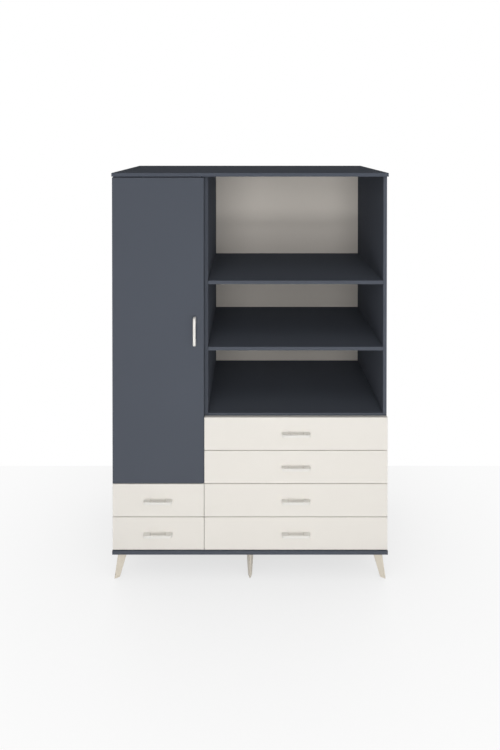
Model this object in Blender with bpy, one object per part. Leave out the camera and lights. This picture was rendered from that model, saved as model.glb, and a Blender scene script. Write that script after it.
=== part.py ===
"""Two-bay cupboard on six splayed legs: a tall door over two drawers on the left,
three open shelves over four wide drawers on the right.

Metres, +Z up, front towards -Y. The origin is at floor level under the centre of the
overall box. Heights in the layout are measured from the floor, depths from the plane
of the door and drawer faces.
"""
import math

import bpy
import bmesh
from mathutils import Vector

# Clearances
SEAT = 0.0003                # between pieces that rest on or against each other
CUT_OVERRUN = 0.002          # cutters past the faces they open
FUSE_OVERLAP = 0.0005        # shapes that are joined into one piece

# Driving dimensions: carcass
TOP_WIDTH = 1.200            # top and base boards, end to end
TOP_DEPTH = 0.560            # top and base boards, front edge to rear edge
BOARD = 0.016                # faced particle board
TOP_OVERHANG_SIDE = 0.001    # top and base past the carcass sides
TOP_OVERHANG_FRONT = 0.0055  # top and base in front of the door and drawer faces
LEFT_BAY_WIDTH = 0.399       # left module, outside
BACK_THICKNESS = 0.003       # hardboard backs
BACK_INSET = 0.012           # backs in front of the rear edges
BACK_HOUSING = 0.005         # depth of the grooves that hold the backs
SHELF_CLEAR = 0.275          # lower and middle open compartments
TOP_CLEAR = 0.457            # upper open compartment
INNER_SHELF_COUNT = 4
INNER_SHELF_SETBACK = 0.030  # inner shelves behind the carcass front
EDGE_ROUNDING = 0.0008       # softened edges of boards

# Driving dimensions: fronts
DRAWER_FRONT_HEIGHT = 0.14275
FRONT_GAP = 0.003            # between a front and the one above it
CENTRE_GAP = 0.002           # between the left and the right fronts
BASE_GAP = 0.0015            # under the lowest drawer fronts
DOOR_TOP_GAP = 0.004         # between the door and the top board
FRONT_CLEARANCE = 0.0015     # fronts to carcass
DECK_OVERLAY = 0.006         # right deck edge covered by the top drawer front
LEFT_DRAWER_COUNT = 2
RIGHT_DRAWER_COUNT = 4

# Driving dimensions: drawer boxes and runners
TRAY_BOARD = 0.012
TRAY_HEIGHT = 0.100
TRAY_REAR_SPACE = 0.0732     # box to the hardboard back
TRAY_RISE = 0.018            # box bottom above the lower edge of the front
TRAY_BOTTOM_THICKNESS = 0.003
TRAY_BOTTOM_RISE = 0.010     # bottom above the lower edge of the box sides
RUNNER_SPACE = 0.0125        # box side to carcass side
RUNNER_STEEL = 0.0012
RUNNER_CHANNEL_WIDTH = 0.0102
RUNNER_DROP = 0.004          # channel bottom below the box side
RUNNER_SETBACK = 0.002       # channel behind the carcass front
RUNNER_FLANGE_PLAY = 0.0006  # moving flange below the channel's upper flange
RUNNER_FLANGE_START = 0.002  # moving flange edge off the carcass side
ROLLER_RADIUS = 0.009
ROLLER_INSET = 0.014         # roller axis from the rail's end
ROLLER_SIDES = 16
AXLE_RADIUS = 0.003

# Driving dimensions: door hinges
HINGE_PIVOT_INSET = 0.005    # turning axis from the door's edge, in its front face
HINGE_END_DISTANCE = 0.100   # outer hinges from the door's ends
CUP_RADIUS = 0.0175
CUP_EDGE_DISTANCE = 0.005    # cup hole from the door's edge
CUP_DEPTH = 0.0115
CUP_WALL = 0.0012
CUP_LIP = 0.0015
CUP_RIM_THICKNESS = 0.0008
CUP_SIDES = 28
WING_OFFSET = 0.0095         # screw line beyond the cup's centre
WING_WIDTH = 0.014
WING_HEIGHT = 0.056
ARM_LENGTH = 0.058           # behind the carcass front
ARM_HEIGHT = 0.014
ARM_DEPTH = 0.0105
ARM_NOSE_START = 0.009       # nose off the carcass side
ARM_NOSE_WIDTH = 0.008
ARM_NOSE_TIP_GAP = 0.0005    # nose to the cup's floor
ARM_BEND = 0.005             # where the arm leaves for the nose
PLATE_THICKNESS = 0.003
PLATE_LENGTH = 0.036
PLATE_HEIGHT = 0.034
PLATE_SETBACK = 0.019

# Driving dimensions: handles
HANDLE_LENGTH = 0.124
HANDLE_BAND = 0.014          # width of the face
HANDLE_REACH = 0.026
HANDLE_BAR = 0.006           # thickness over the finger opening
HANDLE_OPENING = 0.068
HANDLE_OUTER_RADIUS = 0.010
HANDLE_INNER_RADIUS = 0.008
HANDLE_ROUNDING = 0.0016
HANDLE_CORNER_STEPS = 5
DOOR_HANDLE_EDGE_DISTANCE = 0.0395

# Driving dimensions: legs
LEG_HEIGHT = 0.115
LEG_FOOT_LENGTH = 0.026
LEG_FOOT_WIDTH = 0.0185
LEG_TOP_LENGTH = 0.046
LEG_TOP_WIDTH = 0.038
LEG_SPLAY = 0.020            # foot tip outside the leg's top
LEG_CORNER_ROUNDING_SHARE = 0.10
LEG_TIP_INSET_SIDE = 0.0062  # foot tips inside the base's ends
LEG_TIP_INSET_END = 0.012    # foot tips inside the base's front and rear edges
LEG_PLATE_THICKNESS = 0.004
LEG_PLATE_MARGIN = 0.005
LEG_PLATE_ROUNDING_SHARE = 0.2
LEG_CORNER_STEPS = 4

# Layout: widths
OUTER_LEFT = -TOP_WIDTH / 2 + TOP_OVERHANG_SIDE
OUTER_RIGHT = -OUTER_LEFT
PARTING = OUTER_LEFT + LEFT_BAY_WIDTH
LEFT_INNER = (OUTER_LEFT + BOARD, PARTING - BOARD)
RIGHT_INNER = (PARTING + SEAT + BOARD, OUTER_RIGHT - BOARD)
FRONT_PARTING = PARTING - CENTRE_GAP / 2
LEFT_FRONT = (OUTER_LEFT, FRONT_PARTING)
RIGHT_FRONT = (FRONT_PARTING + CENTRE_GAP, OUTER_RIGHT)

# Layout: depths, from the faces of the fronts
TOP_FRONT = -TOP_OVERHANG_FRONT
REAR = TOP_FRONT + TOP_DEPTH
CARCASS_FRONT = BOARD + FRONT_CLEARANCE
BACK_FACE = REAR - BACK_INSET - BACK_THICKNESS
TRAY_LENGTH = BACK_FACE - TRAY_REAR_SPACE - BOARD - SEAT
FRONT_Y = HANDLE_REACH - (HANDLE_REACH + REAR) / 2

# Layout: heights
BASE_TOP = LEG_HEIGHT + BOARD
CHANNEL_HEIGHT = 3 * RUNNER_STEEL + 2 * (SEAT + ROLLER_RADIUS) + RUNNER_FLANGE_PLAY
DRAWER_PITCH = DRAWER_FRONT_HEIGHT + FRONT_GAP
FRONTS_START = BASE_TOP + BASE_GAP
DECK_RIGHT_Z = FRONTS_START + RIGHT_DRAWER_COUNT * DRAWER_PITCH - FRONT_GAP - DECK_OVERLAY
SHELF_MIDDLE_Z = DECK_RIGHT_Z + BOARD + SHELF_CLEAR
SHELF_UPPER_Z = SHELF_MIDDLE_Z + BOARD + SHELF_CLEAR
TOP_UNDERSIDE = SHELF_UPPER_Z + BOARD + TOP_CLEAR
DOOR_BOTTOM = FRONTS_START + LEFT_DRAWER_COUNT * DRAWER_PITCH
DOOR_TOP = TOP_UNDERSIDE - DOOR_TOP_GAP
DECK_LEFT_Z = DOOR_BOTTOM - FRONT_GAP / 2 - BOARD / 2
INNER_CLEAR = (TOP_UNDERSIDE - DECK_LEFT_Z - BOARD * (INNER_SHELF_COUNT + 1)) / (INNER_SHELF_COUNT + 1)
HINGE_HEIGHTS = (DOOR_BOTTOM + HINGE_END_DISTANCE,
                 (DOOR_BOTTOM + DOOR_TOP) / 2,
                 DOOR_TOP - HINGE_END_DISTANCE)
HINGE_AXIS_X = OUTER_LEFT + HINGE_PIVOT_INSET
CUP_X = OUTER_LEFT + CUP_EDGE_DISTANCE + CUP_RADIUS

# End of the layout


def clear_scene():
    for obj in list(bpy.data.objects):
        bpy.data.objects.remove(obj, do_unlink=True)


def make_material(name, colour, roughness, metallic=0.0):
    material = bpy.data.materials.new(name)
    material.use_nodes = True
    shader = material.node_tree.nodes["Principled BSDF"]
    shader.inputs["Base Color"].default_value = (*colour, 1.0)
    shader.inputs["Roughness"].default_value = roughness
    shader.inputs["Metallic"].default_value = metallic
    return material


class Carrier:
    """An empty that pieces hang on, with its origin on the joint's axis."""

    def __init__(self, name, origin, parent=None):
        self.origin = Vector(origin)
        self.empty = bpy.data.objects.new(name, None)
        bpy.context.scene.collection.objects.link(self.empty)
        self.empty.location = self.origin
        if parent:
            self.empty.parent = parent.empty
            self.empty.location = self.origin - parent.origin

    def add(self, name, bm, material, origin):
        """Make an object of a mesh drawn in the layout's coordinates."""
        bmesh.ops.recalc_face_normals(bm, faces=bm.faces)
        bmesh.ops.translate(bm, verts=bm.verts, vec=-Vector(origin))
        mesh = bpy.data.meshes.new(name)
        bm.to_mesh(mesh)
        bm.free()
        mesh.materials.append(material)
        obj = bpy.data.objects.new(name, mesh)
        bpy.context.scene.collection.objects.link(obj)
        obj.parent = self.empty
        obj.location = Vector(origin) - self.origin
        return obj


def middle(low, high):
    return (Vector(low) + Vector(high)) / 2


def add_box(bm, low, high, rounding=0):
    """Add a box between two corners, its edges softened."""
    box = bmesh.ops.create_cube(bm, size=1)["verts"]
    size = Vector(high) - Vector(low)
    bmesh.ops.scale(bm, verts=box, vec=size)
    bmesh.ops.translate(bm, verts=box, vec=middle(low, high))
    if rounding:
        edges = list({edge for vert in box for edge in vert.link_edges})
        bmesh.ops.bevel(bm, geom=edges, offset=rounding, segments=1, affect="EDGES")


def add_prism(bm, outline, run):
    """Add a solid by moving a flat outline along a vector; returns the moved points."""
    face = bm.faces.new([bm.verts.new(point) for point in outline])
    grown = bmesh.ops.extrude_face_region(bm, geom=[face])["geom"]
    far_verts = [item for item in grown if isinstance(item, bmesh.types.BMVert)]
    bmesh.ops.translate(bm, verts=far_verts, vec=run)
    return far_verts


def add_disc(bm, start, run, radius, sides):
    """Add a round solid from a point along a level vector."""
    up = Vector((0, 0, radius))
    across = Vector(run).normalized().cross(up)
    turns = [math.tau * step / sides for step in range(sides)]
    add_prism(bm, [Vector(start) + across * math.cos(turn) + up * math.sin(turn) for turn in turns], run)


def add_tube(bm, rings):
    """Add a closed solid through rings of points, with flat ends."""
    made = [[bm.verts.new(point) for point in ring] for ring in rings]
    for ring, after in zip(made, made[1:]):
        for index in range(len(ring)):
            following = (index + 1) % len(ring)
            bm.faces.new((ring[index], ring[following], after[following], after[index]))
    bm.faces.new(made[0])
    bm.faces.new(made[-1])


def rounded_corner(corner, before, after, radius, steps):
    """Points of an arc that rounds a square corner; the directions lead to its neighbours."""
    centre = Vector(corner) + (Vector(before) + Vector(after)) * radius
    points = []
    for step in range(steps + 1):
        angle = math.pi / 2 * step / steps
        points.append(centre - Vector(after) * radius * math.cos(angle)
                      - Vector(before) * radius * math.sin(angle))
    return points


def combine(obj, tool, operation):
    boolean = obj.modifiers.new(operation.lower(), "BOOLEAN")
    boolean.operation = operation
    boolean.solver = "EXACT"
    boolean.object = tool


def cut(obj, tool):
    combine(obj, tool, "DIFFERENCE")


def fuse(obj, tool):
    combine(obj, tool, "UNION")


def make_tool(name, bm, carrier, origin):
    """A hidden shape that cuts into a piece or is fused with it."""
    tool = carrier.add(name, bm, tool_material, origin)
    tool.hide_render = True
    tool.display_type = "WIRE"
    return tool


def make_board(name, low, high, material, carrier):
    bm = bmesh.new()
    add_box(bm, low, high, EDGE_ROUNDING)
    return carrier.add(name, bm, material, middle(low, high))


# Carcass


def make_carcass(root, navy, pale):
    """Boards of both modules, the common top and base, and the housed backs."""
    boards = {}
    for name, z in (("base_board", LEG_HEIGHT), ("top_board", TOP_UNDERSIDE)):
        boards[name] = make_board(name, (-TOP_WIDTH / 2, TOP_FRONT, z),
                                  (TOP_WIDTH / 2, REAR, z + BOARD), navy, root)
    upright_starts = {
        "side_left": OUTER_LEFT,
        "partition_left": PARTING - BOARD,
        "partition_right": PARTING + SEAT,
        "side_right": OUTER_RIGHT - BOARD,
    }
    for name, x in upright_starts.items():
        boards[name] = make_board(name, (x, CARCASS_FRONT, BASE_TOP + SEAT),
                                  (x + BOARD, REAR, TOP_UNDERSIDE - SEAT), navy, root)
    for name, bay, z in (("deck_left", LEFT_INNER, DECK_LEFT_Z),
                         ("deck_right", RIGHT_INNER, DECK_RIGHT_Z),
                         ("shelf_middle", RIGHT_INNER, SHELF_MIDDLE_Z),
                         ("shelf_upper", RIGHT_INNER, SHELF_UPPER_Z)):
        make_board(name, (bay[0] + SEAT, CARCASS_FRONT, z),
                   (bay[1] - SEAT, BACK_FACE - SEAT, z + BOARD), navy, root)
    for name, bay, sides in (("back_left", LEFT_INNER, ("side_left", "partition_left")),
                             ("back_right", RIGHT_INNER, ("partition_right", "side_right"))):
        reach = BACK_HOUSING - SEAT
        low = Vector((bay[0] - reach, BACK_FACE, BASE_TOP - reach))
        high = Vector((bay[1] + reach, BACK_FACE + BACK_THICKNESS, TOP_UNDERSIDE + reach))
        bm = bmesh.new()
        add_box(bm, low, high)
        root.add(name, bm, pale, middle(low, high))
        seat = Vector((SEAT, SEAT, SEAT))
        bm = bmesh.new()
        add_box(bm, low - seat, high + seat)
        groove = make_tool(name + "_groove", bm, root, middle(low, high))
        for board in (*sides, "base_board", "top_board"):
            cut(boards[board], groove)


def make_inner_shelves(root, navy):
    """Loose shelves behind the door, evenly spaced over the left deck."""
    front = CARCASS_FRONT + INNER_SHELF_SETBACK
    for index in range(INNER_SHELF_COUNT):
        z = DECK_LEFT_Z + BOARD + INNER_CLEAR + index * (INNER_CLEAR + BOARD)
        make_board(f"inner_shelf_{index + 1}", (LEFT_INNER[0] + SEAT, front, z),
                   (LEFT_INNER[1] - SEAT, BACK_FACE - SEAT, z + BOARD), navy, root)


# Legs


def wedge_section(length, width, steps, tip, direction, z):
    """A rounded triangle with its point at the tip, growing against the direction."""
    across = Vector((-direction.y, direction.x, 0))
    corners = [tip, tip - direction * length + across * width / 2,
               tip - direction * length - across * width / 2]
    cut_back = LEG_CORNER_ROUNDING_SHARE * length
    points = []
    for index, corner in enumerate(corners):
        to_last = (corners[index - 1] - corner).normalized()
        to_next = (corners[(index + 1) % len(corners)] - corner).normalized()
        start = corner + to_last * cut_back
        end = corner + to_next * cut_back
        for step in range(steps + 1):
            share = step / steps
            point = start.lerp(corner, share).lerp(corner.lerp(end, share), share)
            points.append(Vector((point.x, point.y, z)))
    return points


def rounded_plate(length, width, centre, direction, z, steps):
    """Outline of a mounting plate with rounded corners."""
    across = Vector((-direction.y, direction.x, 0))
    radius = LEG_PLATE_ROUNDING_SHARE * width
    points = []
    for along_sign, across_sign in ((1, 1), (-1, 1), (-1, -1), (1, -1)):
        corner = centre + direction * length / 2 * along_sign + across * width / 2 * across_sign
        inward = (-direction * along_sign, -across * across_sign)
        before, after = inward[::-1] if along_sign == across_sign else inward
        points += rounded_corner(corner, before, after, radius, steps)
    return [Vector((point.x, point.y, z)) for point in points]


def make_leg(name, tip, direction, carrier, material):
    """A tapered wedge that leans outwards under a plate below the base board."""
    plate_under = LEG_HEIGHT - SEAT - LEG_PLATE_THICKNESS
    top_tip = tip - direction * LEG_SPLAY
    foot = wedge_section(LEG_FOOT_LENGTH, LEG_FOOT_WIDTH, LEG_CORNER_STEPS, tip, direction, 0)
    head = wedge_section(LEG_TOP_LENGTH, LEG_TOP_WIDTH, LEG_CORNER_STEPS, top_tip, direction,
                         plate_under)
    bm = bmesh.new()
    add_tube(bm, (foot, head))
    leg_origin = (tip.x, tip.y, 0)
    leg = carrier.add(name, bm, material, leg_origin)
    centre = top_tip - direction * LEG_TOP_LENGTH / 2
    bm = bmesh.new()
    add_prism(bm, rounded_plate(LEG_TOP_LENGTH + 2 * LEG_PLATE_MARGIN, LEG_TOP_WIDTH + 2 * LEG_PLATE_MARGIN,
                                centre, direction, plate_under - FUSE_OVERLAP, LEG_CORNER_STEPS),
              (0, 0, LEG_PLATE_THICKNESS + FUSE_OVERLAP))
    fuse(leg, make_tool(name + "_plate", bm, carrier, leg_origin))


def make_legs(root, material):
    end_x = TOP_WIDTH / 2 - LEG_TIP_INSET_SIDE
    front_y = TOP_FRONT + LEG_TIP_INSET_END
    rear_y = REAR - LEG_TIP_INSET_END
    for row, y, outward in (("front", front_y, -1), ("rear", rear_y, 1)):
        for place, x, sideways in (("left", -end_x, -1), ("middle", 0, 0), ("right", end_x, 1)):
            direction = Vector((sideways, outward, 0)).normalized()
            make_leg("leg_" + row + "_" + place, Vector((x, y, 0)), direction, root, material)


# Handles


def handle_outline(steps):
    """Plan of a bridge handle: full ends and an opening for the fingers."""
    half = HANDLE_LENGTH / 2
    gap = HANDLE_OPENING / 2
    right, back = Vector((1, 0)), Vector((0, 1))
    face = -HANDLE_REACH
    inner = -HANDLE_REACH + HANDLE_BAR
    points = [Vector((half, -SEAT))]
    points += rounded_corner((half, face), back, -right, HANDLE_OUTER_RADIUS, steps)
    points += rounded_corner((-half, face), right, back, HANDLE_OUTER_RADIUS, steps)
    points += [Vector((-half, -SEAT)), Vector((-gap, -SEAT))]
    points += rounded_corner((-gap, inner), back, right, HANDLE_INNER_RADIUS, steps)
    points += rounded_corner((gap, inner), -right, back, HANDLE_INNER_RADIUS, steps)
    points += [Vector((gap, -SEAT))]
    return points


def make_handle(name, centre, upright, carrier, material):
    """A bridge handle on a front; its length runs across, or up a door."""
    centre = Vector(centre)
    bm = bmesh.new()
    outline = []
    for point in handle_outline(HANDLE_CORNER_STEPS):
        if upright:
            outline.append(centre + Vector((-HANDLE_BAND / 2, point.y, point.x)))
        else:
            outline.append(centre + Vector((point.x, point.y, -HANDLE_BAND / 2)))
    run = Vector((HANDLE_BAND, 0, 0)) if upright else Vector((0, 0, HANDLE_BAND))
    far_verts = set(add_prism(bm, outline, run))
    against_front = centre.y - 2 * SEAT
    rims = [edge for edge in bm.edges
            if (edge.verts[0] in far_verts) == (edge.verts[1] in far_verts)
            and min(vert.co.y for vert in edge.verts) < against_front]
    bmesh.ops.bevel(bm, geom=rims, offset=HANDLE_ROUNDING, segments=2, affect="EDGES")
    carrier.add(name, bm, material, centre)


# Drawers


def add_roller(bm, wall, inward, web, y, z):
    """A roller on the channel's floor, with its axle into the web that carries it."""
    up = Vector((0, 0, 1))
    ahead = Vector((0, 1, 0))
    near = RUNNER_STEEL + 2 * SEAT
    far = RUNNER_SPACE - RUNNER_STEEL - SEAT
    stations = [(near, ROLLER_RADIUS), (far, ROLLER_RADIUS)]
    if web < near:
        stations = [(web, AXLE_RADIUS), (near, AXLE_RADIUS)] + stations
    else:
        stations += [(far, AXLE_RADIUS), (web, AXLE_RADIUS)]
    centre = Vector((0, y, z + RUNNER_STEEL + SEAT + ROLLER_RADIUS))
    turns = [math.tau * step / ROLLER_SIDES for step in range(ROLLER_SIDES)]
    rings = []
    for out, radius in stations:
        rings.append([centre + Vector((wall + inward * out, 0, 0))
                      + ahead * radius * math.cos(turn) + up * radius * math.sin(turn) for turn in turns])
    add_tube(bm, rings)


def make_channel(name, wall, inward, z, root, steel):
    """Fixed runner: a channel on the carcass side with a roller at its front."""
    width = RUNNER_CHANNEL_WIDTH
    web = SEAT + RUNNER_STEEL
    ceiling = CHANNEL_HEIGHT - RUNNER_STEEL
    start = CARCASS_FRONT + RUNNER_SETBACK
    origin = (wall, start, z)
    profile = ((SEAT, 0), (width, 0), (width, RUNNER_STEEL), (web, RUNNER_STEEL),
               (web, ceiling), (width, ceiling), (width, CHANNEL_HEIGHT), (SEAT, CHANNEL_HEIGHT))
    bm = bmesh.new()
    add_prism(bm, [Vector((wall + inward * out, start, z + up)) for out, up in profile],
              (0, TRAY_LENGTH, 0))
    channel = root.add(name, bm, steel, origin)
    bm = bmesh.new()
    add_roller(bm, wall, inward, web - FUSE_OVERLAP, start + ROLLER_INSET, z)
    fuse(channel, make_tool(name + "_roller", bm, root, origin))


def tray_outline(inner, low, floor, high):
    """Section of a drawer box: its sides, its bottom and the moving rails on its sides."""
    web = RUNNER_SPACE - RUNNER_STEEL
    side = RUNNER_SPACE + TRAY_BOARD
    foot = low - RUNNER_STEEL
    flange = low - RUNNER_DROP + RUNNER_STEEL + 2 * (SEAT + ROLLER_RADIUS)
    half = ((side, foot), (web, foot), (web, flange), (RUNNER_FLANGE_START, flange),
            (RUNNER_FLANGE_START, flange + RUNNER_STEEL), (RUNNER_SPACE, flange + RUNNER_STEEL),
            (RUNNER_SPACE, high), (side, high), (side, floor + TRAY_BOTTOM_THICKNESS))
    left = [(inner[0] + out, z) for out, z in half]
    right = [(inner[1] - out, z) for out, z in reversed(half)]
    return left + right + [(inner[1] - side, floor), (inner[0] + side, floor)]


def make_tray(name, inner, bottom, carrier, material):
    """Drawer box with its moving rails, the back board and the rear rollers fused in."""
    near = BOARD + SEAT
    far = near + TRAY_LENGTH
    low = bottom + TRAY_RISE
    high = low + TRAY_HEIGHT
    floor = low + TRAY_BOTTOM_RISE
    back_foot = floor + TRAY_BOTTOM_THICKNESS - FUSE_OVERLAP
    side = RUNNER_SPACE + TRAY_BOARD
    origin = Vector((sum(inner) / 2, near, low))
    bm = bmesh.new()
    add_prism(bm, [Vector((x, near, z)) for x, z in tray_outline(inner, low, floor, high)],
              (0, TRAY_LENGTH, 0))
    tray = carrier.add(name, bm, material, origin)
    bm = bmesh.new()
    add_box(bm, (inner[0] + side - FUSE_OVERLAP, far - TRAY_BOARD, back_foot),
            (inner[1] - side + FUSE_OVERLAP, far, high))
    for wall, inward in ((inner[0], 1), (inner[1], -1)):
        add_roller(bm, wall, inward, RUNNER_SPACE - RUNNER_STEEL + FUSE_OVERLAP, far - ROLLER_INSET,
                   low - RUNNER_DROP)
    fuse(tray, make_tool(name + "_back", bm, carrier, origin))


def make_drawer(name, inner, front, bottom, root, materials):
    """Front, box and handle of one drawer on its carrier, and its two fixed runners."""
    centre = Vector((sum(front) / 2, 0, bottom + DRAWER_FRONT_HEIGHT / 2))
    carrier = Carrier(name, centre, root)
    make_board(name + "_front", (front[0], 0, bottom), (front[1], BOARD, bottom + DRAWER_FRONT_HEIGHT),
               materials["cream"], carrier)
    make_tray(name + "_box", inner, bottom, carrier, materials["tray"])
    make_handle(name + "_handle", centre, False, carrier, materials["handle"])
    channel_z = bottom + TRAY_RISE - RUNNER_DROP
    make_channel(name + "_runner_left", inner[0], 1, channel_z, root, materials["steel"])
    make_channel(name + "_runner_right", inner[1], -1, channel_z, root, materials["steel"])


def make_drawers(root, materials):
    for side, inner, front, count in (("left", LEFT_INNER, LEFT_FRONT, LEFT_DRAWER_COUNT),
                                      ("right", RIGHT_INNER, RIGHT_FRONT, RIGHT_DRAWER_COUNT)):
        for index in range(count):
            make_drawer(f"{side}_drawer_{index + 1}", inner, front, FRONTS_START + index * DRAWER_PITCH,
                        root, materials)


# Door


def make_cup(name, x, z, carrier, material):
    """Open cup of a concealed hinge, turned about a level axis, with its screw wings."""
    outer = CUP_RADIUS - SEAT
    floor = BOARD - CUP_DEPTH
    rim = BOARD + SEAT
    face = rim + CUP_RIM_THICKNESS
    profile = ((outer, floor), (outer, rim), (CUP_RADIUS + CUP_LIP, rim), (CUP_RADIUS + CUP_LIP, face),
               (outer - CUP_WALL, face), (outer - CUP_WALL, floor + CUP_WALL))
    turns = [math.tau * step / CUP_SIDES for step in range(CUP_SIDES)]
    bm = bmesh.new()
    add_tube(bm, [[Vector((x + radius * math.cos(turn), y, z + radius * math.sin(turn))) for turn in turns]
                  for radius, y in profile])
    origin = Vector((x, BOARD, z))
    cup = carrier.add(name, bm, material, origin)
    bm = bmesh.new()
    wing = x + WING_OFFSET
    for start, end in ((z - WING_HEIGHT / 2, z - CUP_RADIUS + CUP_WALL),
                       (z + CUP_RADIUS - CUP_WALL, z + WING_HEIGHT / 2)):
        add_box(bm, (wing - WING_WIDTH / 2, rim, start), (wing + WING_WIDTH / 2, face, end))
    fuse(cup, make_tool(name + "_wings", bm, carrier, origin))


def make_hinge_arm(name, z, root, material):
    """Arm on its mounting plate, with a nose that reaches into the cup."""
    wall = LEFT_INNER[0]
    plate = wall + SEAT + PLATE_THICKNESS
    start = CARCASS_FRONT + PLATE_SETBACK
    origin = Vector((wall, CARCASS_FRONT, z))
    bm = bmesh.new()
    add_box(bm, (wall + SEAT, start, z - PLATE_HEIGHT / 2),
            (plate, start + PLATE_LENGTH, z + PLATE_HEIGHT / 2))
    arm = root.add(name, bm, material, origin)
    inner = plate - FUSE_OVERLAP
    outer = plate + ARM_DEPTH
    nose = wall + ARM_NOSE_START
    tip = BOARD - CUP_DEPTH + CUP_WALL + ARM_NOSE_TIP_GAP
    end = CARCASS_FRONT + ARM_LENGTH
    bend = CARCASS_FRONT + ARM_BEND
    outline = ((inner, end), (inner, bend + ARM_BEND), (nose, bend), (nose, tip),
               (nose + ARM_NOSE_WIDTH, tip), (nose + ARM_NOSE_WIDTH, bend + ARM_BEND),
               (outer, bend + 2 * ARM_BEND), (outer, end))
    bm = bmesh.new()
    add_prism(bm, [Vector((x, y, z - ARM_HEIGHT / 2)) for x, y in outline], (0, 0, ARM_HEIGHT))
    fuse(arm, make_tool(name + "_lever", bm, root, origin))


def make_door(root, materials):
    """Tall door with its handle and cups, on a carrier on the turning axis."""
    carrier = Carrier("door_swing", (HINGE_AXIS_X, 0, (DOOR_BOTTOM + DOOR_TOP) / 2), root)
    panel = make_board("door_panel", (LEFT_FRONT[0], 0, DOOR_BOTTOM), (LEFT_FRONT[1], BOARD, DOOR_TOP),
                       materials["navy"], carrier)
    holes = bmesh.new()
    for index, z in enumerate(HINGE_HEIGHTS):
        add_disc(holes, (CUP_X, BOARD - CUP_DEPTH - SEAT, z), (0, CUP_DEPTH + SEAT + CUT_OVERRUN, 0),
                 CUP_RADIUS, CUP_SIDES)
        make_cup(f"hinge_cup_{index + 1}", CUP_X, z, carrier, materials["hinge"])
        make_hinge_arm(f"hinge_arm_{index + 1}", z, root, materials["hinge"])
    cut(panel, make_tool("cup_holes", holes, carrier, carrier.origin))
    make_handle("door_handle", (LEFT_FRONT[1] - DOOR_HANDLE_EDGE_DISTANCE, 0, carrier.origin.z),
                True, carrier, materials["handle"])


clear_scene()
tool_material = make_material("tool", (0.5, 0.5, 0.5), 0.5)
finishes = {
    "navy": make_material("navy_board", (0.075, 0.086, 0.112), 0.55),
    "cream": make_material("cream_board", (0.80, 0.78, 0.73), 0.5),
    "pale": make_material("pale_hardboard", (0.66, 0.63, 0.57), 0.7),
    "tray": make_material("tray_board", (0.80, 0.79, 0.75), 0.6),
    "handle": make_material("cream_handle", (0.82, 0.80, 0.74), 0.3),
    "leg": make_material("beige_leg", (0.60, 0.55, 0.42), 0.4),
    "steel": make_material("runner_steel", (0.78, 0.78, 0.77), 0.4, 0.3),
    "hinge": make_material("hinge_steel", (0.62, 0.62, 0.62), 0.3, 1.0),
}
cupboard = Carrier("cupboard", (0, 0, 0))
make_carcass(cupboard, finishes["navy"], finishes["pale"])
make_inner_shelves(cupboard, finishes["navy"])
make_legs(cupboard, finishes["leg"])
make_drawers(cupboard, finishes)
make_door(cupboard, finishes)
cupboard.empty.location.y = FRONT_Y
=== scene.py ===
# Cupboard with a tall door, drawers and open shelves: finishes, fittings, light and camera
import math

import bmesh
import bpy
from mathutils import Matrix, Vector


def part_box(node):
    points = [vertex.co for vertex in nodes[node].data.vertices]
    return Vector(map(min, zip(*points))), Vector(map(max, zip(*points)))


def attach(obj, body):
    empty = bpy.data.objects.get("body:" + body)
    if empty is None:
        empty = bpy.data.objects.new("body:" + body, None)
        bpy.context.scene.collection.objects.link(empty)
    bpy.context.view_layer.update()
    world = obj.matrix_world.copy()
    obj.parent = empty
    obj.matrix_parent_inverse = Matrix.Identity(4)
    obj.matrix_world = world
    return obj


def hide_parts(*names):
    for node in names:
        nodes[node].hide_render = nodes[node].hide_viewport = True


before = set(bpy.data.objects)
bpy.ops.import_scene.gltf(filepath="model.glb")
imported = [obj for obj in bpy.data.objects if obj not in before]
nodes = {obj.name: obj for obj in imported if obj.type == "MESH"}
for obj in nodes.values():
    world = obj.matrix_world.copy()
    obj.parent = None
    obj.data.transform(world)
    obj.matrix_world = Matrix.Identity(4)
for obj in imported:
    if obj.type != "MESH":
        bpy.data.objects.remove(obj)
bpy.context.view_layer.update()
print("frame loaded:", len(nodes), "CAD nodes")

leftDrawers = ["left_drawer_1", "left_drawer_2"]
rightDrawers = ["right_drawer_1", "right_drawer_2", "right_drawer_3", "right_drawer_4"]
allDrawers = leftDrawers + rightDrawers


# Nodes of a material are made through this, with sockets set to values or linked
def addNode(tree, kind, sockets=None, **settings):
    node = tree.nodes.new(kind)
    for key, value in settings.items():
        setattr(node, key, value)
    for key, value in (sockets or {}).items():
        if isinstance(value, bpy.types.NodeSocket):
            tree.links.new(value, node.inputs[key])
        else:
            node.inputs[key].default_value = value
    return node


def startMaterial(name):
    material = bpy.data.materials.new(name)
    material.use_nodes = True
    tree = material.node_tree
    shader = tree.nodes["Principled BSDF"]
    place = addNode(tree, "ShaderNodeTexCoord")
    return material, tree, shader, place


def shade(colour, factor):
    return (colour[0] * factor, colour[1] * factor, colour[2] * factor, 1.0)


# What all finishes share: the noise behind their tones, and how far their textures stand out
grain = {
    "cloudDetail": 4.0,
    "cloudRoughness": 0.6,
    "speckDetail": 2.0,
    "speckRoughness": 0.5,
    "noiseLow": 0.3,
    "noiseHigh": 0.7,
    "bandLimit": 0.75,
    "pearlBump": 0.5,
    "fibreBump": 0.5,
    "fibreDetail": 3.0,
    "fibreDistortion": 0.4,
    "boardSpecular": 0.3,
    "sparkBump": 0.4,
    "drawnScale": (900.0, 12.0, 900.0),
    "drawnDetail": 2.0,
    "scratchDepth": 0.00002,
}


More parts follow.
